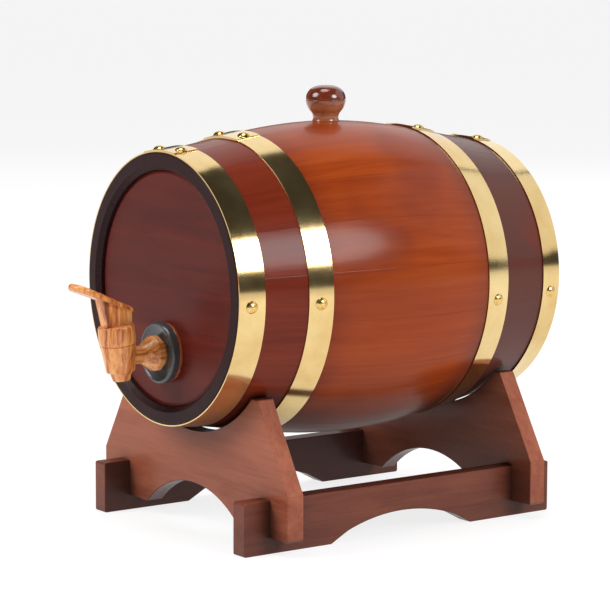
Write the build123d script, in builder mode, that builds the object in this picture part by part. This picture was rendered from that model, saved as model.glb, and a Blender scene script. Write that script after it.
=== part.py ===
from build123d import *
import os
from math import cos, radians, sin, sqrt, tan

# A 5-litre wooden table barrel on its cradle. Millimetres, +Z up. The barrel lies along Y with its
# tapped head towards -Y. The origin is on the floor, under the middle of the whole object.

# ---------------------------------------------------------------- driving dimensions
# barrel
barrel_length = 260.0
belly_radius = 102.88
bulge_square = 27.17  # how far the outside drops from the belly to the chime, square term
bulge_fourth = 10.81  # and the fourth-power term, which straightens the ends again
axis_height = 158.0
stave_count = 20
stave_thickness = 12.0
stave_end_round = 1.2
profile_stations = 9  # points that carry the bulge curve from end to end

# chime and heads
chime_flat_width = 8.0
chime_radius = 75.5  # inside of the chime, where the head stands
chime_bevel_depth = 3.0
head_recess = 4.5
head_thickness = 10.0
tongue_front = 1.0  # from the head's outer face back to its tongue
tongue_thickness = 5.0
groove_depth = 2.5
head_play = 0.1  # between the head's rim and the bottom of the groove
head_front_bevel = 2.6
head_back_bevel = 6.5
head_seams = (-24.0, 27.0)  # heights of the glue lines above the barrel's axis

# hoops, by the stretch of the barrel that each one covers
hoop_thickness = 0.75
hoop_play = 0.05
hoop_spans = {
    "front_chime_hoop": (-129.4, -111.6),
    "front_bilge_hoop": (-82.15, -65.5),
    "back_bilge_hoop": (59.3, 78.1),
    "back_chime_hoop": (114.1, 129.4),
}
lap_start = 80.0  # degrees from +X towards +Z
lap_end = 103.0

# hoop nails
nail_head_radius = 4.0
nail_head_height = 2.0
nail_dome_shoulder = (2.5, 1.33)  # radius and height of a point on the dome
nail_shank_radius = 1.2
nail_hole_play = 0.05
nail_seat_play = 0.04
nail_bite = 6.0  # how deep a side nail goes into its stave
rivet_angles = (83.0, 99.5)
nail_places = {  # place along the barrel and angle of the nail on the +X side
    "front_chime_hoop": (-120.8, -2.0),
    "front_bilge_hoop": (-73.8, -2.0),
    "back_bilge_hoop": (68.7, -6.5),
    "back_chime_hoop": (121.75, -6.5),
}

# bung, heights from the top of the belly
bung_knob_radius = 13.2
bung_knob_height = 13.5
bung_top = 23.2
bung_lower_bulge = (12.1, 9.1)  # points on the knob's outline
bung_upper_bulge = (11.4, 19.3)
bung_under_knob = (9.5, 5.4)  # radius and height where the knob meets the neck
bung_neck = (8.5, 2.6)
bung_plug_top_radius = 8.8
bung_plug_end_radius = 7.4
bung_plug_length = 22.0
bung_groove = 0.4
bung_play = 0.15

# tap
tap_height = 117.4  # of the stem's axis above the floor
tap_hole_radius = 13.0
ring_radius = 19.0
ring_thickness = 2.5
bush_radius = 19.7
bush_rim_width = 2.6
bush_rim_round = 1.2
bush_rim_lip = 0.6
bush_flange = 5.0
bush_dish_depth = 2.6
bush_dish_middle = (-131.1, 13.4)  # station and radius of a point on the dished face
bush_shank_end = -112.0
bush_play = 0.05
stem_radius = 5.75
stem_disc_radius = 11.25
stem_disc_edge = 0.9
stem_front = -152.6  # all stations along the barrel, from its middle
stem_cone_start = -145.0
stem_disc_front = -136.6
stem_disc_back = -133.4
stem_inner_end = -104.0
stem_tenon_radius = 9.0
stem_tenon_end_radius = 7.5
tap_bore_radius = 2.5
key_port_radius = 3.0  # of the key's cross hole
tap_axis_y = -160.7  # where the key's axis crosses the stem's axis
tap_tilt = 6.5  # degrees, the top leans away from the barrel
body_bottom = -9.5  # heights along the key's axis, from the stem's axis
body_top = 8.15
body_bottom_radius = 9.2
body_top_radius = 11.2
body_edge = 0.8
plug_bottom_radius = 7.1
plug_top_radius = 8.2
plug_play = 0.08
spout_bottom = -15.1
spout_radius = 5.6
key_seat_gap = 0.1
key_head_top = 20.4
key_head_radius = 11.3
key_head_bulge = 0.5
key_head_edge = 1.4
block_width = 8.8
block_rear = -153.8
block_front_bottom = -170.9
block_front_top = -176.2
block_bottom = 135.5
lever_slope = 23.2
lever_rear_top = 148.9  # height of the plate's upper face at its rear edge
lever_thickness = 4.7  # at its front, where both edges round into a full nose
lever_nose = 2.2
lever_rear_depth = 2.8  # upright, through the plate
lever_front_depth = 5.2
lever_length = 43.93
lever_rear_width = 10.0
lever_front_width = 21.0
lever_corner = 8.5

# cradle
stand_offset = -1.6  # the cradle's middle from the barrel's middle
board_thickness = 12.0
board_spacing = 197.0
board_half_width = 105.4
board_bottom = 9.75
board_shoulder = 38.8
board_horn_x = 73.0
board_horn_z = 94.3
saddle_bottom = 65.2
saddle_play = 0.3
board_arch_top = 31.1
board_arch_half = 53.5
stretcher_x = 81.05
stretcher_thickness = 12.0
stretcher_height = 33.6
stretcher_length = 248.2
stretcher_arch_top = 14.9
stretcher_arch_half = 57.0
stretcher_arch_knee = (44.0, 6.9)
stretcher_foot_round = 14.0
stretcher_knee_round = 30.0
lap_level = 21.7  # where the board's notch and the stretcher's notch meet
wood_edge = 0.5
corner_round = 1.5

# ---------------------------------------------------------------- derived places
half_length = barrel_length / 2
rise = radians(lever_slope)
nose_reach = lever_nose * (1 - cos(rise)) + (lever_thickness - lever_nose) * sin(rise)
tap_reach = lever_length * cos(rise) + nose_reach - block_rear
middle_y = (tap_reach - half_length) / 2
barrel_middle = Vector(0, middle_y, axis_height)
barrel_axis = Axis(barrel_middle, (0, -1, 0))
stave_angle = 360 / stave_count
top_of_belly = axis_height + belly_radius
groove_front = head_recess + tongue_front
groove_back = groove_front + tongue_thickness
head_rim = chime_radius + groove_depth - head_play
stand_y = middle_y + stand_offset
single_layer = hoop_play + hoop_thickness
lap_layer = hoop_play + 2 * hoop_thickness

bung_angle = 90
bung_origin = Vector(0, middle_y, top_of_belly)
bung_axis = Axis(bung_origin, (0, 0, 1))
bung_plane = Plane(origin=bung_origin, x_dir=(1, 0, 0), z_dir=(0, -1, 0))

# side planes carry stations along the barrel as local x, and a height or a radius as local y
tap_origin = Vector(0, middle_y, tap_height)
tap_axis = Axis(tap_origin, (0, 1, 0))
tap_side = Plane(origin=tap_origin, x_dir=(0, 1, 0), z_dir=(1, 0, 0))
floor_side = Plane(origin=(0, middle_y, 0), x_dir=(0, 1, 0), z_dir=(1, 0, 0))

tilt = radians(tap_tilt)
key_origin = Vector(0, middle_y + tap_axis_y, tap_height)
key_axis = Axis(key_origin, (0, -sin(tilt), cos(tilt)))
key_plane = Plane(origin=key_origin, x_dir=(0, cos(tilt), sin(tilt)), z_dir=(1, 0, 0))

lever_origin = Vector(0, middle_y + block_rear, lever_rear_top)
lever_plane = Plane(
    origin=lever_origin, x_dir=(0, -cos(rise), sin(rise)), z_dir=(0, sin(rise), cos(rise))
)


def outer_radius(y):
    """Radius of the barrel's outside at a distance from its middle."""
    share = (y / half_length) ** 2
    return belly_radius - bulge_square * share + bulge_fourth * share * share


def outer_slope(y):
    """Change of the outside radius per millimetre along the barrel."""
    share = (y / half_length) ** 2
    return (-2 * bulge_square + 4 * bulge_fourth * share) * y / half_length**2


def bulge_point(y, lift):
    """Point of the outside curve, lifted, at a distance from the barrel's middle."""
    return (y, outer_radius(y) + lift)


def bulge_curve(start, end, lift):
    """Outside curve, lifted, drawn from one station of the barrel to another."""
    steps = profile_stations - 1
    stations = [start + (end - start) * i / steps for i in range(profile_stations)]
    way = 1 if end > start else -1
    tangents = [(way, way * outer_slope(y)) for y in (start, end)]
    return Spline(*[bulge_point(y, lift) for y in stations], tangents=tangents)


def radial_plane(angle):
    """Plane through the barrel's axis: local x along the barrel, local y outwards at that angle."""
    normal = (sin(radians(angle)), 0, -cos(radians(angle)))
    return Plane(origin=barrel_middle, x_dir=(0, 1, 0), z_dir=normal)


def seat_plane(y, angle, lift):
    """Plane on the barrel's outside, lifted by what lies between: local z is the outward normal."""
    outwards = Vector(cos(radians(angle)), 0, sin(radians(angle)))
    tangent = Vector(-sin(radians(angle)), 0, cos(radians(angle)))
    normal = (outwards - Vector(0, outer_slope(y), 0)).normalized()
    point = barrel_middle + Vector(0, y, 0) + outwards * outer_radius(y) + normal * lift
    return Plane(origin=point, x_dir=tangent, z_dir=normal)


def upright_plane(seat):
    """Plane for a turned profile that stands on a seat: local y is the seat's normal."""
    return Plane(origin=seat.origin, x_dir=seat.x_dir, z_dir=seat.x_dir.cross(seat.z_dir))


def save(piece, name):
    """Label a finished piece and write it under its own name."""
    piece.part.label = name
    export_step(piece.part, f"parts/{name}.step")


def side_angles(angle):
    """The angle of a nail on the +X side and its mirror image on the -X side."""
    return (angle % 360, 180 - angle)


def along_barrel(station, height):
    """Plane across the barrel at a station from its middle: local z runs along +Y."""
    return Plane(origin=(0, middle_y + station, height), x_dir=(1, 0, 0), z_dir=(0, 1, 0))


os.makedirs("parts", exist_ok=True)

# ---------------------------------------------------------------- staves
def make_stave(angle):
    """One stave, centred at an angle: bulged outside, hollowed inside, with the head grooves."""
    inner_end = half_length - groove_back
    end_radius = outer_radius(half_length)
    groove_bottom = chime_radius + groove_depth
    end_points = [  # from the outer corner round the chime and the groove to the hollow
        (half_length, end_radius),
        (half_length, end_radius - chime_flat_width),
        (half_length - chime_bevel_depth, chime_radius),
        (half_length - groove_front, chime_radius),
        (half_length - groove_front, groove_bottom),
        (inner_end, groove_bottom),
        (inner_end, outer_radius(inner_end) - stave_thickness),
    ]
    with BuildPart() as stave:
        with BuildSketch(radial_plane(angle - stave_angle / 2)) as section:
            with BuildLine():
                bulge_curve(-half_length, half_length, 0)
                Polyline(*end_points)
                bulge_curve(inner_end, -inner_end, -stave_thickness)
                Polyline(*[(-y, radius) for y, radius in end_points])
            make_face()
            end_corners = section.vertices().group_by(SortBy.DISTANCE)[-1]
            fillet(end_corners, stave_end_round)
        revolve(axis=barrel_axis, revolution_arc=stave_angle)
        if angle == bung_angle:
            with BuildSketch(bung_plane):
                with BuildLine():
                    Polyline(
                        (0, bung_play),
                        (bung_plug_top_radius + bung_play, bung_play),
                        (bung_plug_end_radius + bung_play, -bung_plug_length),
                        (0, -bung_plug_length),
                        close=True,
                    )
                make_face()
            revolve(axis=bung_axis, mode=Mode.SUBTRACT)
        for y, nail_angle in side_nails:
            if abs((nail_angle - angle + 180) % 360 - 180) < stave_angle / 2:
                with Locations(seat_plane(y, nail_angle, 0)):
                    Cylinder(nail_shank_radius + nail_hole_play, 2 * nail_bite, mode=Mode.SUBTRACT)
    return stave


side_nails = [(y, side) for y, angle in nail_places.values() for side in side_angles(angle)]
for number in range(stave_count):
    stave = make_stave(bung_angle + number * stave_angle)
    save(stave, f"stave_{number + 1:02d}")


# ---------------------------------------------------------------- heads
def make_head_board(end, low, high):
    """One board of a head, between two heights above the barrel's axis; end is -1 in front, 1 behind."""
    face = half_length - head_recess
    tongue = half_length - groove_front
    tongue_back = half_length - groove_back
    back = face - head_thickness
    rim_points = [
        (face, 0),
        (face, chime_radius - head_front_bevel),
        (tongue, head_rim - groove_depth),
        (tongue, head_rim),
        (tongue_back, head_rim),
        (tongue_back, head_rim - groove_depth),
        (back, chime_radius - head_back_bevel),
        (back, 0),
    ]
    with BuildPart() as board:
        with BuildSketch(radial_plane(bung_angle)):
            with BuildLine():
                Polyline(*[(end * y, radius) for y, radius in rim_points], close=True)
            make_face()
        revolve(axis=barrel_axis)
        with Locations(barrel_middle + Vector(0, end * face, (low + high) / 2)):
            Box(2 * belly_radius, 2 * belly_radius, high - low, mode=Mode.INTERSECT)
        if end < 0 and low < tap_height - axis_height < high:
            with Locations(along_barrel(end * face, tap_height)):
                Cylinder(tap_hole_radius, 4 * head_thickness, mode=Mode.SUBTRACT)
    return board


head_edges = (-chime_radius - groove_depth, *head_seams, chime_radius + groove_depth)
head_board_names = ("bottom", "middle", "top")
for end, end_name in ((-1, "front"), (1, "back")):
    for board_name, low, high in zip(head_board_names, head_edges, head_edges[1:]):
        board = make_head_board(end, low, high)
        save(board, f"{end_name}_head_{board_name}_board")


# ---------------------------------------------------------------- hoops and their nails
def make_hoop(name):
    """One hoop: a single layer most of the way round and a double one at the lap, with nail holes."""
    start, end = hoop_spans[name]
    y, side_angle = nail_places[name]
    layers = (
        (lap_end, 360 - (lap_end - lap_start), hoop_thickness),
        (lap_start, lap_end - lap_start, 2 * hoop_thickness),
    )
    with BuildPart() as hoop:
        for angle, arc, thickness in layers:
            outer_lift = hoop_play + thickness
            with BuildSketch(radial_plane(angle)):
                with BuildLine():
                    bulge_curve(start, end, hoop_play)
                    Line(bulge_point(end, hoop_play), bulge_point(end, outer_lift))
                    bulge_curve(end, start, outer_lift)
                    Line(bulge_point(start, outer_lift), bulge_point(start, hoop_play))
                make_face()
            revolve(axis=barrel_axis, revolution_arc=arc)
        for angle in (*rivet_angles, *side_angles(side_angle)):
            with Locations(seat_plane(y, angle, 0)):
                Cylinder(nail_shank_radius + nail_hole_play, nail_bite, mode=Mode.SUBTRACT)
    return hoop


def make_nails(name):
    """The lap rivets and side nails of one hoop: domed heads on round shanks."""
    y, side_angle = nail_places[name]
    side_reach = nail_bite + single_layer
    rivet_reach = lap_layer - hoop_play
    places = [(angle, lap_layer, rivet_reach) for angle in rivet_angles]
    places += [(angle, single_layer, side_reach) for angle in side_angles(side_angle)]
    with BuildPart() as nails:
        for angle, lift, shank_length in places:
            seat = seat_plane(y, angle, lift + nail_seat_play)
            with BuildSketch(upright_plane(seat)):
                with BuildLine():
                    ThreePointArc(
                        (0, nail_head_height), nail_dome_shoulder, (nail_head_radius, 0)
                    )
                    Polyline(
                        (nail_head_radius, 0),
                        (nail_shank_radius, 0),
                        (nail_shank_radius, -shank_length),
                        (0, -shank_length),
                        (0, nail_head_height),
                    )
                make_face()
            revolve(axis=Axis(seat.origin, seat.z_dir))
    return nails


for name in hoop_spans:
    save(make_hoop(name), name)
    save(make_nails(name), f"{name}_nails")

# ---------------------------------------------------------------- bung
with BuildPart() as bung:
    with BuildSketch(bung_plane) as bung_section:
        with BuildLine():
            Line((0, -bung_plug_length), (bung_plug_end_radius, -bung_plug_length))
            Line((bung_plug_end_radius, -bung_plug_length), (bung_plug_top_radius, 0))
            Spline((bung_plug_top_radius, 0), bung_neck, bung_under_knob)
            ThreePointArc(bung_under_knob, bung_lower_bulge, (bung_knob_radius, bung_knob_height))
            Spline(
                (bung_knob_radius, bung_knob_height),
                bung_upper_bulge,
                (0, bung_top),
                tangents=((0, 1), (-1, 0)),
            )
            Line((0, bung_top), (0, -bung_plug_length))
        make_face()
        with Locations((bung_knob_radius, bung_knob_height)):
            Circle(bung_groove, mode=Mode.SUBTRACT)
    revolve(axis=bung_axis)
save(bung, "bung")

# ---------------------------------------------------------------- tap
ring_front = -half_length + head_recess - ring_thickness
rim_front = ring_front - bush_flange


def stem_tenon(y):
    """Radius of the stem's tapered tenon at a station along the barrel."""
    share = (y - stem_disc_back) / (stem_inner_end - stem_disc_back)
    return stem_tenon_radius + (stem_tenon_end_radius - stem_tenon_radius) * share


with BuildPart() as tap_backing_ring:
    with BuildSketch(tap_side) as ring_section:
        with BuildLine():
            Polyline(
                (ring_front, tap_hole_radius),
                (ring_front, ring_radius),
                (-half_length + head_recess, ring_radius),
                (-half_length + head_recess, tap_hole_radius),
                close=True,
            )
        make_face()
        outer_front = ring_section.vertices().group_by(SortBy.DISTANCE)[-1]
        fillet(outer_front, ring_thickness / 2)
    revolve(axis=tap_axis)
save(tap_backing_ring, "tap_backing_ring")

with BuildPart() as tap_bush:
    dish_bottom = rim_front + bush_dish_depth
    shank_radius = tap_hole_radius - bush_play
    with BuildSketch(tap_side):
        with BuildLine():
            Line((ring_front, bush_radius), (rim_front + bush_rim_round, bush_radius))
            ThreePointArc(
                (rim_front + bush_rim_round, bush_radius),
                (rim_front, bush_radius - bush_rim_round),
                (rim_front + bush_rim_lip, bush_radius - bush_rim_width),
            )
            Spline(
                (rim_front + bush_rim_lip, bush_radius - bush_rim_width),
                bush_dish_middle,
                (dish_bottom, stem_tenon(dish_bottom) + bush_play),
            )
            Polyline(
                (dish_bottom, stem_tenon(dish_bottom) + bush_play),
                (bush_shank_end, stem_tenon(bush_shank_end) + bush_play),
                (bush_shank_end, shank_radius),
                (ring_front, shank_radius),
                (ring_front, bush_radius),
            )
        make_face()
    revolve(axis=tap_axis)
save(tap_bush, "tap_bush")

with BuildPart() as tap_stem:
    with BuildSketch(tap_side) as stem_section:
        with BuildLine():
            Polyline(
                (stem_front, tap_bore_radius),
                (stem_front, stem_radius),
                (stem_cone_start, stem_radius),
                (stem_disc_front, stem_disc_radius),
                (stem_disc_back, stem_disc_radius),
                (stem_disc_back, stem_tenon_radius),
                (stem_inner_end, stem_tenon_end_radius),
                (stem_inner_end, tap_bore_radius),
                close=True,
            )
        make_face()
        disc_rim = stem_section.vertices().filter_by_position(
            Axis.Z, tap_height + stem_disc_radius - 0.1, tap_height + stem_disc_radius + 0.1
        )
        fillet(disc_rim, stem_disc_edge)
    revolve(axis=tap_axis)
save(tap_stem, "tap_stem")

with BuildPart() as tap_body:
    with BuildSketch(key_plane) as body_section:
        with BuildLine():
            Polyline(
                (plug_bottom_radius + plug_play, body_bottom),
                (body_bottom_radius, body_bottom),
                (body_top_radius, body_top),
                (plug_top_radius + plug_play, body_top),
                close=True,
            )
        make_face()
        fillet(body_section.vertices().sort_by(SortBy.DISTANCE)[-2:], body_edge)
    revolve(axis=key_axis)
    with Locations(along_barrel(stem_front, tap_height)):
        Cylinder(
            stem_radius,
            stem_cone_start - stem_front,
            align=(Align.CENTER, Align.CENTER, Align.MIN),
            mode=Mode.SUBTRACT,
        )
        Cylinder(
            tap_bore_radius,
            stem_cone_start - stem_front,
            align=(Align.CENTER, Align.CENTER, Align.MAX),
            mode=Mode.SUBTRACT,
        )
save(tap_body, "tap_body")

# the lever's plate: a tapered plan with a full nose, its underside planed thinner to the rear
plate_half_depth = (lever_rear_depth + lever_front_depth) / 4
strip_rise = lever_length * sin(rise)
strip_front = block_rear - lever_length * cos(rise)
clear_above = lever_rear_top + 2 * strip_rise
clear_front = strip_front - lever_thickness
clear_bottom = lever_rear_top + strip_rise - lever_front_depth
with BuildPart() as lever_plate:
    with BuildSketch(lever_plane) as lever_plan:
        with BuildLine():
            Polyline(
                (-2 * lever_thickness, -lever_rear_width / 2),
                (lever_length, -lever_front_width / 2),
                (lever_length, lever_front_width / 2),
                (-2 * lever_thickness, lever_rear_width / 2),
                close=True,
            )
        make_face()
        fillet(lever_plan.vertices().sort_by(SortBy.DISTANCE)[-2:], lever_corner)
    extrude(amount=-lever_thickness)
    upright_edges = lever_plate.edges().filter_by(Axis(lever_origin, lever_plane.z_dir))
    fillet(lever_plate.edges() - upright_edges, lever_nose)
    with BuildSketch(floor_side):
        with BuildLine():
            Polyline(
                (block_rear, lever_rear_top - lever_rear_depth),
                (block_rear, clear_above),
                (clear_front, clear_above),
                (clear_front, clear_bottom),
                (strip_front, clear_bottom),
                close=True,
            )
        make_face()
    extrude(amount=lever_front_width, both=True, mode=Mode.INTERSECT)

with BuildPart() as tap_key:
    seat_height = body_top + key_seat_gap
    middle_height = (seat_height + key_head_top) / 2
    with BuildSketch(key_plane) as key_section:
        with BuildLine():
            Polyline(
                (0, key_head_top),
                (0, spout_bottom),
                (spout_radius, spout_bottom),
                (plug_bottom_radius, body_bottom),
                (plug_top_radius, body_top),
                (plug_top_radius, seat_height),
                (key_head_radius, seat_height),
            )
            ThreePointArc(
                (key_head_radius, seat_height),
                (key_head_radius + key_head_bulge, middle_height),
                (key_head_radius, key_head_top),
            )
            Line((key_head_radius, key_head_top), (0, key_head_top))
        make_face()
        fillet(key_section.vertices().sort_by(SortBy.DISTANCE)[-1], key_head_edge)
    revolve(axis=key_axis)
    block_length = block_rear - block_front_top
    block_front_height = lever_rear_top + block_length * tan(rise) - plate_half_depth
    with BuildSketch(floor_side):
        with BuildLine():
            Polyline(
                (block_rear, block_bottom),
                (block_rear, lever_rear_top - lever_rear_depth / 2),
                (block_front_top, block_front_height),
                (block_front_bottom, block_bottom),
                close=True,
            )
        make_face()
    extrude(amount=block_width / 2, both=True)
    add(lever_plate.part)
    with Locations(Plane(origin=key_origin, z_dir=(1, 0, 0))):
        Cylinder(key_port_radius, 3 * plug_top_radius, mode=Mode.SUBTRACT)
    with Locations(Plane(origin=key_origin, z_dir=(0, sin(tilt), -cos(tilt)))):
        Cylinder(
            tap_bore_radius,
            -2 * spout_bottom,
            align=(Align.CENTER, Align.CENTER, Align.MIN),
            mode=Mode.SUBTRACT,
        )
save(tap_key, "tap_key")


# ---------------------------------------------------------------- cradle
def make_cradle_board(end):
    """A cradle board: saddle above, arch below, notched for the stretchers; end is -1 in front."""
    centre = stand_offset + end * board_spacing / 2
    inner_face = centre - end * board_thickness / 2
    bearing_radius = outer_radius(inner_face) + saddle_play
    horn_drop = axis_height - board_horn_z
    saddle_x = sqrt(bearing_radius**2 - horn_drop**2)
    plane = Plane(origin=(0, middle_y + centre, 0), x_dir=(1, 0, 0), z_dir=(0, -1, 0))
    outer_points = [
        (board_arch_half, board_bottom),
        (board_half_width, board_bottom),
        (board_half_width, board_shoulder),
        (board_horn_x, board_horn_z),
        (saddle_x, board_horn_z),
    ]
    with BuildPart() as board:
        with BuildSketch(plane) as outline:
            with BuildLine():
                Polyline(*outer_points)
                ThreePointArc((saddle_x, board_horn_z), (0, saddle_bottom), (-saddle_x, board_horn_z))
                Polyline(*[(-x, z) for x, z in outer_points])
                ThreePointArc(
                    (-board_arch_half, board_bottom), (0, board_arch_top), (board_arch_half, board_bottom)
                )
            make_face()
            outer_corners = [
                v for v in outline.vertices() if abs(v.X) > (saddle_x + board_horn_x) / 2
            ]
            fillet(outer_corners, corner_round)
        extrude(amount=board_thickness / 2, both=True)
        fillet(board.faces().filter_by(Axis.Y).edges(), wood_edge)
        with Locations((-stretcher_x, middle_y + centre, 0), (stretcher_x, middle_y + centre, 0)):
            Box(stretcher_thickness, 2 * board_thickness, 2 * lap_level, mode=Mode.SUBTRACT)
    return board


def make_stretcher(side):
    """A stretcher that stands on the floor: arched below, notched above for the boards."""
    half = stretcher_length / 2
    knee_x, knee_z = stretcher_arch_knee
    plane = Plane(origin=(side * stretcher_x, stand_y, 0), x_dir=(0, 1, 0), z_dir=(1, 0, 0))
    with BuildPart() as stretcher:
        with BuildSketch(plane) as outline:
            with BuildLine():
                Polyline(
                    (-knee_x, knee_z),
                    (-stretcher_arch_half, 0),
                    (-half, 0),
                    (-half, stretcher_height),
                    (half, stretcher_height),
                    (half, 0),
                    (stretcher_arch_half, 0),
                    (knee_x, knee_z),
                )
                ThreePointArc((knee_x, knee_z), (0, stretcher_arch_top), (-knee_x, knee_z))
            make_face()
            fillet(outline.vertices().sort_by(SortBy.DISTANCE)[:2], stretcher_knee_round)
            arch_feet = [v for v in outline.vertices() if abs(abs(v.Y) - stretcher_arch_half) < 0.01]
            fillet(arch_feet, stretcher_foot_round)
            fillet(outline.vertices().sort_by(SortBy.DISTANCE)[-4:], corner_round)
        extrude(amount=stretcher_thickness / 2, both=True)
        fillet(stretcher.faces().filter_by(Axis.X).edges(), wood_edge)
        notch_height = stretcher_height - lap_level
        with Locations(
            (side * stretcher_x, stand_y - board_spacing / 2, lap_level + notch_height),
            (side * stretcher_x, stand_y + board_spacing / 2, lap_level + notch_height),
        ):
            Box(2 * stretcher_thickness, board_thickness, 2 * notch_height, mode=Mode.SUBTRACT)
    return stretcher


for end, name in ((-1, "cradle_front_board"), (1, "cradle_back_board")):
    save(make_cradle_board(end), name)
for side, name in ((-1, "cradle_left_stretcher"), (1, "cradle_right_stretcher")):
    save(make_stretcher(side), name)
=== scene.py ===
from math import cos, radians, sin, tau

import bpy
from mathutils import Matrix, Vector


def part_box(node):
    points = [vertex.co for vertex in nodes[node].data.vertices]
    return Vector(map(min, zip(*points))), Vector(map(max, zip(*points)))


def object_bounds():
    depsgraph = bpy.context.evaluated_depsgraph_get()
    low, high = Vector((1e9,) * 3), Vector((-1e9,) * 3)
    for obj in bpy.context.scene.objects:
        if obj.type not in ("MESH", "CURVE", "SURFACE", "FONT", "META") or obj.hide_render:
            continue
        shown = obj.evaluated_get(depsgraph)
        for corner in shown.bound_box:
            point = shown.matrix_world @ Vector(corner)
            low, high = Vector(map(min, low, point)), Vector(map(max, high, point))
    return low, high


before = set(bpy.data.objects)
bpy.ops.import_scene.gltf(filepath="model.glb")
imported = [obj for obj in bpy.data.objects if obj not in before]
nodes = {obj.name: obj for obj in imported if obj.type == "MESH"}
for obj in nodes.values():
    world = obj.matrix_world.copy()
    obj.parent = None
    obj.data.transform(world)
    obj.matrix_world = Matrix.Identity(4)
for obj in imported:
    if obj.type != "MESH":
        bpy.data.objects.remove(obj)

cad_low, cad_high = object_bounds()

# ---------------------------------------------------------------- places, in metres
# stave_01 is the one on top; stave_16 is level with the barrel's axis
belly_low, belly_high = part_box("stave_01")
side_low, side_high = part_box("stave_16")
barrel_axis = Vector((0, (belly_low.y + belly_high.y) / 2, (side_low.z + side_high.z) / 2))
half_length = (belly_high.y - belly_low.y) / 2
belly_radius = belly_high.z - barrel_axis.z
mouth_radius = 0.079  # about the inner edge of the staves' end faces
bush_low, bush_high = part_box("tap_bush")
bush_centre = (bush_low + bush_high) / 2
middle_of_all = (cad_low + cad_high) / 2
stave_count = 20
stave_turn = tau / stave_count

# where the painted shade towards each end starts and is full, along the barrel from its middle
front_shade_reach = (-0.045, -0.085)
back_shade_reach = (0.035, 0.075)

# where a turned piece's foot tone starts to fade and is gone, up from the piece's middle
foot_top = (0.009, 0.017)


def middle(node):
    low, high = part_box(node)
    return (low + high) / 2


# ---------------------------------------------------------------- tones: (place on the ramp, colour)
belly_stops = (
    (0.30, (0.225, 0.028, 0.003)),
    (0.44, (0.290, 0.041, 0.004)),
    (0.56, (0.325, 0.051, 0.006)),
    (0.72, (0.375, 0.070, 0.010)),
)
# painted shade: darker wood for the front end of the barrel
front_shade_stops = (
    (0.30, (0.100, 0.010, 0.004)),
    (0.50, (0.150, 0.017, 0.006)),
    (0.72, (0.190, 0.027, 0.010)),
)
end_grain_stops = (
    (0.30, (0.012, 0.006, 0.007)),
    (0.55, (0.032, 0.012, 0.012)),
    (0.80, (0.060, 0.022, 0.019)),
)
head_stops = (
    (0.30, (0.060, 0.007, 0.005)),
    (0.46, (0.085, 0.010, 0.007)),
    (0.60, (0.110, 0.014, 0.009)),
    (0.76, (0.145, 0.024, 0.013)),
)
cradle_stops = (
    (0.28, (0.215, 0.048, 0.022)),
    (0.44, (0.300, 0.077, 0.037)),
    (0.58, (0.365, 0.104, 0.052)),
    (0.76, (0.430, 0.140, 0.074)),
)
# a darker copy of the cradle boards' wood: painted shade on the stretchers
shaded_stretcher_stops = (
    (0.28, (0.110, 0.023, 0.012)),
    (0.44, (0.160, 0.038, 0.020)),
    (0.58, (0.200, 0.053, 0.028)),
    (0.76, (0.250, 0.076, 0.042)),
)
bung_stops = (
    (0.28, (0.060, 0.008, 0.005)),
    (0.48, (0.130, 0.020, 0.008)),
    (0.64, (0.240, 0.046, 0.014)),
    (0.80, (0.360, 0.095, 0.028)),
)
tap_stops = (
    (0.36, (0.220, 0.050, 0.010)),
    (0.45, (0.600, 0.180, 0.040)),
    (0.54, (0.860, 0.350, 0.100)),
    (0.66, (0.930, 0.520, 0.210)),
)
ring_stops = (
    (0.30, (0.300, 0.050, 0.012)),
    (0.50, (0.480, 0.100, 0.025)),
    (0.72, (0.600, 0.160, 0.045)),
)
hoop_stops = (
    (0.30, (0.69, 0.46, 0.18)),
    (0.52, (0.80, 0.58, 0.26)),
    (0.75, (0.88, 0.69, 0.36)),
)
nail_stops = (
    (0.32, (0.55, 0.33, 0.09)),
    (0.55, (0.86, 0.58, 0.20)),
    (0.80, (0.94, 0.72, 0.34)),
)
rubber_stops = (
    (0.35, (0.052, 0.054, 0.055)),
    (0.62, (0.064, 0.066, 0.067)),
    (0.85, (0.095, 0.095, 0.093)),
)
# painted shade for the back end of the barrel
back_shade_tone = (0.062, 0.024, 0.022)
darker_stave_tone = (0.15, 0.022, 0.009)
cloud_tone = (0.17, 0.020, 0.005)
stave_pore_tone = (0.070, 0.012, 0.006)
seam_tone = (0.040, 0.008, 0.004)
# painted shade tones for the staves and the cradle, laid on where they are sheltered
barrel_shade_tone = (0.018, 0.005, 0.004)
cradle_shade_tone = (0.030, 0.012, 0.010)
bung_foot_tone = (0.48, 0.17, 0.075)
scratch_tone = (0.50, 0.31, 0.10)
# painted shade for the brass where it is sheltered
brass_shade_tone = (0.10, 0.06, 0.03)
floor_tone = (0.20, 0.20, 0.20)


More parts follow.
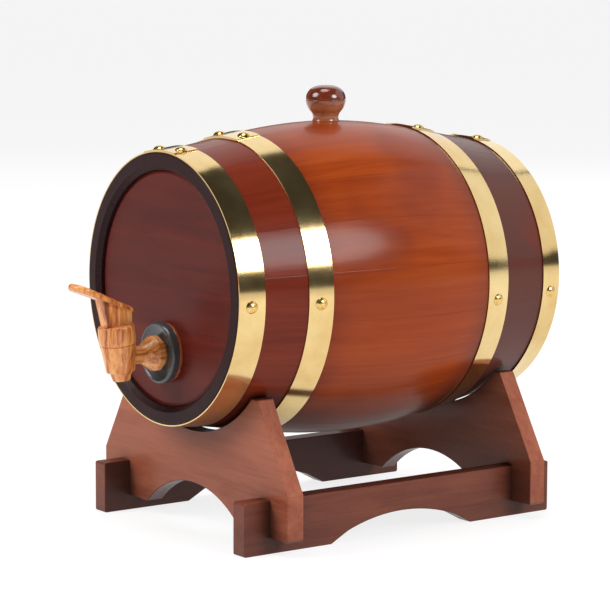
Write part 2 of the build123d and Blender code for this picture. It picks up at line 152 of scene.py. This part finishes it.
# ---------------------------------------------------------------- node graphs
class Graph:
    """A short way to write a node material: each method adds a node and returns its output."""

    def __init__(self, name):
        self.material = bpy.data.materials.new(name)
        self.material.use_nodes = True
        self.tree = self.material.node_tree
        self.tree.nodes.clear()
        self.shader = self.tree.nodes.new("ShaderNodeBsdfPrincipled")
        output = self.tree.nodes.new("ShaderNodeOutputMaterial")
        self.link(self.shader.outputs["BSDF"], output.inputs["Surface"])
        self.place = self.tree.nodes.new("ShaderNodeTexCoord").outputs["Object"]
        self.x, self.y, self.z = self.split(self.place)

    def link(self, source, target):
        """Join an output to an input, or set the input when the source is a plain value."""
        if isinstance(source, bpy.types.NodeSocket):
            self.tree.links.new(source, target)
        else:
            target.default_value = source

    def split(self, vector):
        node = self.tree.nodes.new("ShaderNodeSeparateXYZ")
        self.link(vector, node.inputs[0])
        return node.outputs

    def join(self, x, y, z):
        node = self.tree.nodes.new("ShaderNodeCombineXYZ")
        for value, target in zip((x, y, z), node.inputs):
            self.link(value, target)
        return node.outputs[0]

    def math(self, operation, a, b=0.0):
        node = self.tree.nodes.new("ShaderNodeMath")
        node.operation = operation
        for value, target in zip((a, b), node.inputs):
            self.link(value, target)
        return node.outputs[0]

    def add(self, a, b):
        return self.math("ADD", a, b)

    def less(self, a, b):
        return self.math("SUBTRACT", a, b)

    def times(self, a, b):
        return self.math("MULTIPLY", a, b)

    def weigh(self, a, b, share):
        """Mean of two values in which b has a share and a the rest."""
        return self.add(self.times(a, 1 - share), self.times(b, share))

    def steps(self, value, low, high, to_low=0.0, to_high=1.0):
        """Map a range smoothly onto another, held at its ends; low may be above high."""
        node = self.tree.nodes.new("ShaderNodeMapRange")
        node.interpolation_type = "SMOOTHSTEP"
        for number, part in enumerate((value, low, high, to_low, to_high)):
            self.link(part, node.inputs[number])
        return node.outputs[0]

    def polar(self, centre):
        """Angle and radius about the line along Y through a centre."""
        side = self.less(self.x, centre.x)
        up = self.less(self.z, centre.z)
        radius = self.math("SQRT", self.add(self.times(side, side), self.times(up, up)))
        return self.math("ARCTAN2", up, side), radius

    def noise(self, vector, scale=1.0, detail=3.0, roughness=0.5, distortion=0.0):
        """Smooth noise; with metres in, the scale or the factors on the place are features per metre."""
        node = self.tree.nodes.new("ShaderNodeTexNoise")
        self.link(vector, node.inputs["Vector"])
        node.inputs["Scale"].default_value = scale
        node.inputs["Detail"].default_value = detail
        node.inputs["Roughness"].default_value = roughness
        node.inputs["Distortion"].default_value = distortion
        return node.outputs[0]

    def white(self, value):
        """A number from 0 to 1 that is fixed by the value and unlike its neighbours'."""
        node = self.tree.nodes.new("ShaderNodeTexWhiteNoise")
        node.noise_dimensions = "1D"
        self.link(value, node.inputs["W"])
        return node.outputs[0]

    def ramp(self, value, stops):
        """Colour ramp from (place, colour) pairs."""
        node = self.tree.nodes.new("ShaderNodeValToRGB")
        elements = node.color_ramp.elements
        while len(elements) < len(stops):
            elements.new(0.5)
        for element, (place, colour) in zip(elements, stops):
            element.position = place
            element.color = (*colour, 1)
        self.link(value, node.inputs[0])
        return node.outputs[0]

    def mix(self, share, a, b):
        """Colour between two colours; b has the share."""
        node = self.tree.nodes.new("ShaderNodeMix")
        node.data_type = "RGBA"
        self.link(share, node.inputs["Factor"])
        # inputs 6 and 7 and output 2 are the ones for colours
        for value, socket in ((a, node.inputs[6]), (b, node.inputs[7])):
            self.link(value if isinstance(value, bpy.types.NodeSocket) else (*value, 1), socket)
        return node.outputs[2]

    def fill_pores(self, wood, pores, share, tone):
        """Wood whose open pores hold a darker tone."""
        return self.mix(self.steps(pores, 0.62, 0.78, 0.0, share), wood, tone)

    def sheltered(self, reach):
        """0 in the open to 1 in corners and under the barrel, where shade falls; the materials paint shade
        with it.
        """
        node = self.tree.nodes.new("ShaderNodeAmbientOcclusion")
        node.samples = 8
        node.inputs["Distance"].default_value = reach
        return self.less(1.0, node.outputs["AO"])

    def bump(self, height, distance, strength, below=None):
        """Normal of a fine relief, laid over the one below it where that is given."""
        node = self.tree.nodes.new("ShaderNodeBump")
        node.inputs["Strength"].default_value = strength
        node.inputs["Distance"].default_value = distance
        self.link(height, node.inputs["Height"])
        if below is not None:
            self.link(below, node.inputs["Normal"])
        return node.outputs[0]

    def finish(self, colour, roughness, normal=None, **others):
        """Wire the shader; the others are its inputs by name, as values or outputs of nodes."""
        self.link(colour, self.shader.inputs["Base Color"])
        self.link(roughness, self.shader.inputs["Roughness"])
        if normal is not None:
            self.link(normal, self.shader.inputs["Normal"])
            self.link(normal, self.shader.inputs["Coat Normal"])
        for name, value in others.items():
            self.link(value, self.shader.inputs[name.replace("_", " ")])
        return self.material


def scaled(tone, factor):
    return tuple(part * factor for part in tone)


# ---------------------------------------------------------------- materials
def stave_wood():
    """Lacquered oak: long grain, a tone of its own for each stave, dark end grain at the chimes."""
    g = Graph("stave_wood")
    angle, radius = g.polar(barrel_axis)
    along = g.less(g.y, barrel_axis.y)
    turn = g.add(g.math("DIVIDE", g.less(angle, radians(90)), stave_turn), stave_count + 0.5)
    number = g.math("FLOOR", turn)
    across = g.less(g.less(turn, number), 0.5)
    seam = g.steps(g.math("ABSOLUTE", across), 0.488, 0.5)
    arc = g.times(angle, belly_radius)

    # each stave is shifted, so that no grain runs over a joint
    shift = g.times(number, 3.7)
    grain_place = g.join(g.times(arc, 220), g.times(along, 9), g.add(g.times(radius, 60), shift))
    wave_place = g.join(g.times(arc, 45), g.times(along, 5), shift)
    pore_place = g.join(g.times(arc, 1400), g.times(along, 55), g.add(g.times(radius, 400), shift))
    grain = g.noise(grain_place, detail=5.0, roughness=0.6, distortion=0.6)
    waves = g.noise(wave_place, detail=2.0, distortion=0.4)
    pores = g.noise(pore_place, roughness=0.6)
    cloud = g.noise(g.place, 14.0, detail=2.0)
    mark = g.weigh(grain, waves, 0.38)

    # painted shade that darkens the wood beyond the bilge hoops, with a cloudy edge
    cloudy_along = g.add(along, g.times(g.less(cloud, 0.5), 0.030))
    front_shade = g.steps(cloudy_along, *front_shade_reach)
    back_shade = g.steps(cloudy_along, *back_shade_reach)
    wood = g.mix(g.times(front_shade, 0.92), g.ramp(mark, belly_stops), g.ramp(mark, front_shade_stops))
    wood = g.mix(g.times(back_shade, 0.88), wood, back_shade_tone)
    wood = g.mix(g.steps(g.white(number), 0.0, 1.0, 0.0, 0.16), wood, darker_stave_tone)
    wood = g.mix(g.steps(cloud, 0.48, 0.64, 0.0, 0.50), wood, cloud_tone)
    wood = g.fill_pores(wood, pores, 0.30, stave_pore_tone)
    wood = g.mix(g.times(seam, 0.30), wood, seam_tone)
    # painted shade: the staves darken in corners and under the barrel, and their lacquer and specular fade
    # there
    shelter = g.steps(g.sheltered(0.16), 0.25, 0.85)
    wood = g.mix(g.times(shelter, 0.85), wood, barrel_shade_tone)

    # the chime: end grain and the mouth inside it, darker than the long grain
    end_place = g.join(g.times(angle, 160), g.times(radius, 700), g.times(along, 300))
    end_wood = g.ramp(g.noise(end_place, detail=4.0, roughness=0.65), end_grain_stops)
    from_middle = g.math("ABSOLUTE", along)
    end_face = g.steps(from_middle, half_length - 0.0012, half_length - 0.0004)
    near_end = g.steps(from_middle, half_length - 0.011, half_length - 0.006)
    inside = g.steps(radius, mouth_radius + 0.0005, mouth_radius - 0.0005)
    chime = g.math("MAXIMUM", end_face, g.times(inside, near_end))
    colour = g.mix(chime, wood, end_wood)

    normal = g.bump(g.add(g.times(grain, 0.6), g.times(pores, 0.25)), 0.0004, 0.16)
    normal = g.bump(g.times(seam, -1.0), 0.0002, 0.25, normal)
    roughness = g.add(g.steps(grain, 0.3, 0.8, 0.30, 0.40), g.times(chime, 0.12))
    open_air = g.less(1.0, g.times(shelter, 0.8))
    lacquer = g.times(open_air, g.less(0.22, g.times(chime, 0.16)))
    specular = g.times(open_air, 0.08)
    return g.finish(
        colour, roughness, normal, Coat_Weight=lacquer, Coat_Roughness=0.16, Specular_IOR_Level=specular
    )


def board_wood(name, stops, along_axis, seed, coat=0.1, specular=0.2, relief=0.14, shade_share=0.0):
    """Flat-sawn board: long grain along one axis, cathedral waves, pores and a slow change of tone; with a
    shade share, painted shade in sheltered places too.
    """
    g = Graph(name)
    parts = {"X": g.x, "Y": g.y, "Z": g.z}
    along = parts.pop(along_axis)
    first, second = parts.values()
    slow = g.noise(g.join(g.times(along, 6), g.times(first, 14), g.add(g.times(second, 14), seed)))
    bend = g.times(g.less(slow, 0.5), 0.9)
    fibre_place = g.join(
        g.times(along, 16),
        g.add(g.times(first, 330), g.times(bend, 9)),
        g.add(g.times(second, 330), seed),
    )
    ring_place = g.join(
        g.times(along, 4),
        g.add(g.times(first, 75), g.times(bend, 5)),
        g.add(g.times(second, 75), seed),
    )
    pore_place = g.join(g.times(along, 90), g.times(first, 1500), g.add(g.times(second, 1500), seed))
    fibre = g.noise(fibre_place, detail=4.0, roughness=0.62, distortion=0.3)
    rings = g.noise(ring_place, detail=2.0, distortion=0.5)
    pores = g.noise(pore_place, detail=2.0, roughness=0.6)
    wood = g.ramp(g.weigh(fibre, rings, 0.5), stops)
    darkest = stops[0][1]
    lightest = stops[-1][1]
    wood = g.fill_pores(wood, pores, 0.55, scaled(darkest, 0.45))
    wood = g.mix(g.steps(slow, 0.35, 0.7, 0.0, 0.22), wood, lightest)
    # painted shade: darker in corners and under the barrel
    if shade_share:
        shelter = g.steps(g.sheltered(0.14), 0.30, 0.80, 0.0, shade_share)
        wood = g.mix(shelter, wood, cradle_shade_tone)
    normal = g.bump(g.add(g.times(fibre, 0.7), g.times(pores, -0.3)), 0.0004, relief)
    roughness = g.steps(fibre, 0.3, 0.75, 0.30, 0.44)
    return g.finish(
        wood, roughness, normal, Coat_Weight=coat, Coat_Roughness=0.2, Specular_IOR_Level=specular
    )


def turned_wood(name, stops, axis, centre, scale=1.0, roughness=(0.2, 0.34), coat=0.5, foot=None):
    """Turned piece: growth lines run along one axis and show as flames on its round sides.

    With a foot, which is a tone, the wood is of that tone up to a little above the piece's middle.
    """
    g = Graph(name)
    parts = {"X": g.less(g.x, centre.x), "Y": g.less(g.y, centre.y), "Z": g.less(g.z, centre.z)}
    along = parts.pop(axis)
    first, second = parts.values()
    slow_place = g.join(g.times(along, 30 * scale), g.times(first, 60 * scale), g.times(second, 60 * scale))
    slow = g.noise(slow_place)
    fibre_place = g.join(
        g.times(along, 42 * scale),
        g.add(g.times(first, 700 * scale), g.times(slow, 2.5)),
        g.times(second, 500 * scale),
    )
    ring_place = g.join(
        g.times(along, 14 * scale),
        g.add(g.times(first, 190 * scale), g.times(slow, 2.0)),
        g.times(second, 130 * scale),
    )
    pore_place = g.join(g.times(along, 220), g.times(first, 2600), g.times(second, 2600))
    fibre = g.noise(fibre_place, detail=4.0, roughness=0.6, distortion=0.2)
    rings = g.noise(ring_place, detail=2.0, distortion=0.4)
    pores = g.noise(pore_place, detail=2.0)
    mark = g.weigh(fibre, rings, 0.5)
    wood = g.ramp(mark, stops)
    if foot:
        pale_wood = g.mix(g.times(mark, 1.2), scaled(foot, 0.5), foot)
        wavy_along = g.add(along, g.times(slow, 0.003))
        wood = g.mix(g.steps(wavy_along, *foot_top), pale_wood, wood)
    darkest = stops[0][1]
    wood = g.fill_pores(wood, pores, 0.5, scaled(darkest, 0.5))
    normal = g.bump(g.add(g.times(fibre, 0.7), g.times(pores, -0.3)), 0.0003, 0.15)
    shine = g.steps(fibre, 0.3, 0.75, *roughness)
    return g.finish(wood, shine, normal, Coat_Weight=coat, Coat_Roughness=0.14)


def hoop_brass():
    """Brass strip: fine brushing round the barrel, faint scratches and painted shade in sheltered places."""
    g = Graph("hoop_brass")
    angle, _ = g.polar(barrel_axis)
    along = g.less(g.y, barrel_axis.y)
    arc = g.times(angle, belly_radius)
    brushed = g.noise(g.join(g.times(arc, 14), g.times(along, 5200), 0.0), roughness=0.6)
    scratch_place = g.join(g.times(arc, 60), g.times(along, 900), 4.0)
    scratch = g.noise(scratch_place, detail=5.0, roughness=0.75, distortion=0.5)
    cloud = g.noise(g.place, 22.0, detail=4.0, roughness=0.6)
    brass = g.ramp(cloud, hoop_stops)
    brass = g.mix(g.steps(scratch, 0.62, 0.75, 0.0, 0.35), brass, scratch_tone)
    # painted shade: the brass darkens where it is sheltered, standing in for the dark reflections there
    brass = g.mix(g.steps(g.sheltered(0.10), 0.35, 0.85, 0.0, 0.75), brass, brass_shade_tone)
    normal = g.bump(brushed, 0.00012, 0.08)
    roughness = g.add(g.steps(cloud, 0.3, 0.75, 0.08, 0.14), g.times(brushed, 0.04))
    return g.finish(brass, roughness, normal, Metallic=1.0)


def nail_brass():
    """Polished brass nail heads, a little tarnished in spots."""
    g = Graph("nail_brass")
    spots = g.noise(g.place, 420.0, roughness=0.6)
    normal = g.bump(spots, 0.0002, 0.12)
    roughness = g.steps(spots, 0.3, 0.8, 0.18, 0.34)
    return g.finish(g.ramp(spots, nail_stops), roughness, normal, Metallic=1.0)


def bush_rubber():
    """Black moulded bush: glossy, with faint turning marks and a dusting of fine specks."""
    g = Graph("bush_rubber")
    _, radius = g.polar(bush_centre)
    turning_marks = g.noise(g.join(g.times(radius, 2400), 0.0, 0.0), detail=2.0)
    dust = g.noise(g.place, 900.0, detail=4.0, roughness=0.7)
    normal = g.bump(g.add(g.times(turning_marks, 0.5), g.times(dust, 0.1)), 0.0002, 0.03)
    roughness = g.steps(dust, 0.3, 0.8, 0.16, 0.22)
    return g.finish(g.ramp(dust, rubber_stops), roughness, normal, Specular_IOR_Level=0.6)


def floor_paint():
    """Matt, softly backlit studio surface with a very faint mottle."""
    g = Graph("floor_paint")
    mottle = g.noise(g.place, 30.0, detail=4.0)
    colour = g.mix(g.steps(mottle, 0.3, 0.7), scaled(floor_tone, 0.97), floor_tone)
    return g.finish(colour, 0.8, Emission_Color=(1, 1, 1, 1), Emission_Strength=0.81)


# ---------------------------------------------------------------- materials on the pieces
def dress(names, material):
    """Give CAD nodes a material of their own."""
    for name in names:
        mesh = nodes[name].data
        mesh.materials.clear()
        mesh.materials.append(material)


dress([name for name in nodes if name.startswith("stave_")], stave_wood())
for number, board in enumerate(("bottom", "middle", "top")):
    for end in ("front", "back"):
        name = f"{end}_head_wood_{board}"
        material = board_wood(name, head_stops, "X", seed=3.1 * number, coat=0.04, specular=0.12, relief=0.12)
        dress([f"{end}_head_{board}_board"], material)
dress([name for name in nodes if name.endswith("_hoop")], hoop_brass())
dress([name for name in nodes if name.endswith("_nails")], nail_brass())

bung_wood = turned_wood(
    "bung_wood",
    bung_stops,
    "Z",
    middle("bung"),
    scale=0.8,
    roughness=(0.14, 0.22),
    coat=0.35,
    foot=bung_foot_tone,
)
dress(["bung"], bung_wood)
dress(["tap_backing_ring"], turned_wood("ring_wood", ring_stops, "Z", middle("tap_backing_ring")))

# the tap's pieces: node, material, grain axis and the node whose middle its grain is centred on
tap_pieces = (
    ("tap_stem", "stem_wood", "Y", "tap_stem"),
    ("tap_body", "tap_body_wood", "Z", "tap_body"),
    ("tap_key", "tap_key_wood", "Z", "tap_body"),
)
for node, name, axis, core in tap_pieces:
    dress([node], turned_wood(name, tap_stops, axis, middle(core), roughness=(0.28, 0.42), coat=0.3))
dress(["tap_bush"], bush_rubber())

board_material = board_wood("cradle_board_wood", cradle_stops, "X", seed=1.3, shade_share=0.9)
dress(["cradle_front_board", "cradle_back_board"], board_material)
# the stretchers get the darker copy of the boards' wood, as painted shade
shaded_stretcher_material = board_wood("shaded_stretcher_wood", shaded_stretcher_stops, "Y", seed=5.9, shade_share=0.9)
dress(["cradle_left_stretcher", "cradle_right_stretcher"], shaded_stretcher_material)

# ---------------------------------------------------------------- floor
floor_half = 60.0
floor_corners = [
    (-floor_half, -floor_half, 0),
    (floor_half, -floor_half, 0),
    (floor_half, floor_half, 0),
    (-floor_half, floor_half, 0),
]
floor_mesh = bpy.data.meshes.new("floor")
floor_mesh.from_pydata(floor_corners, [], [(0, 1, 2, 3)])
floor_mesh.materials.append(floor_paint())
floor = bpy.data.objects.new("floor", floor_mesh)
bpy.context.scene.collection.objects.link(floor)

# ---------------------------------------------------------------- camera
view_azimuth = radians(53.72)
view_elevation = radians(7.32)
view_roll = radians(0.23)
camera_place = Vector((1.3061, barrel_axis.y - 0.9750, 0.3477))
right = Vector((cos(view_azimuth), sin(view_azimuth), 0))
level_forward = Vector((-sin(view_azimuth), cos(view_azimuth), 0))
forward = level_forward * cos(view_elevation) - Vector((0, 0, sin(view_elevation)))
up = right.cross(forward)
camera_right = right * cos(view_roll) + up * sin(view_roll)
camera_up = up * cos(view_roll) - right * sin(view_roll)
camera_turn = Matrix((camera_right, camera_up, -forward)).transposed().to_4x4()

camera_data = bpy.data.cameras.new("camera")
camera_data.lens = 145.95
camera_data.sensor_width = 36.0
camera_data.clip_end = 200.0
camera = bpy.data.objects.new("camera", camera_data)
camera.matrix_world = Matrix.Translation(camera_place) @ camera_turn
bpy.context.scene.collection.objects.link(camera)
bpy.context.scene.camera = camera


# ---------------------------------------------------------------- light
def soft_light(name, azimuth, elevation, distance, size, power):
    """Elliptical area light that looks at the middle of the object from a distance.

    Its azimuth runs from -Y towards +X; the azimuth and the elevation are in degrees.
    """
    turn = radians(azimuth)
    climb = radians(elevation)
    level = distance * cos(climb)
    offset = Vector((level * sin(turn), -level * cos(turn), distance * sin(climb)))
    data = bpy.data.lights.new(name, "AREA")
    data.shape = "ELLIPSE"
    data.size, data.size_y = size
    data.energy = power
    light = bpy.data.objects.new(name, data)
    light.location = middle_of_all + offset
    light.rotation_euler = (-offset).to_track_quat("-Z", "Y").to_euler()
    bpy.context.scene.collection.objects.link(light)


soft_light("key_light", 107.5, 27.5, 2.2, (0.95, 0.88), 26)
soft_light("front_light", -20, 35, 2.2, (1.2, 1.2), 32)
soft_light("left_back_light", -135, 35, 3.0, (3.2, 2.6), 22)
soft_light("right_back_light", 162, 28, 3.0, (2.6, 3.0), 18)

top_data = bpy.data.lights.new("top_light", "SUN")
top_data.energy = 1.3
top_data.angle = radians(30)
top_light = bpy.data.objects.new("top_light", top_data)
top_light.rotation_euler = (radians(6), 0, 0)
bpy.context.scene.collection.objects.link(top_light)

world = bpy.data.worlds.new("studio")
world.use_nodes = True
background = world.node_tree.nodes["Background"]
background.inputs["Color"].default_value = (1, 1, 1, 1)
background.inputs["Strength"].default_value = 0.05
bpy.context.scene.world = world
bpy.context.scene.view_settings.view_transform = "Standard"
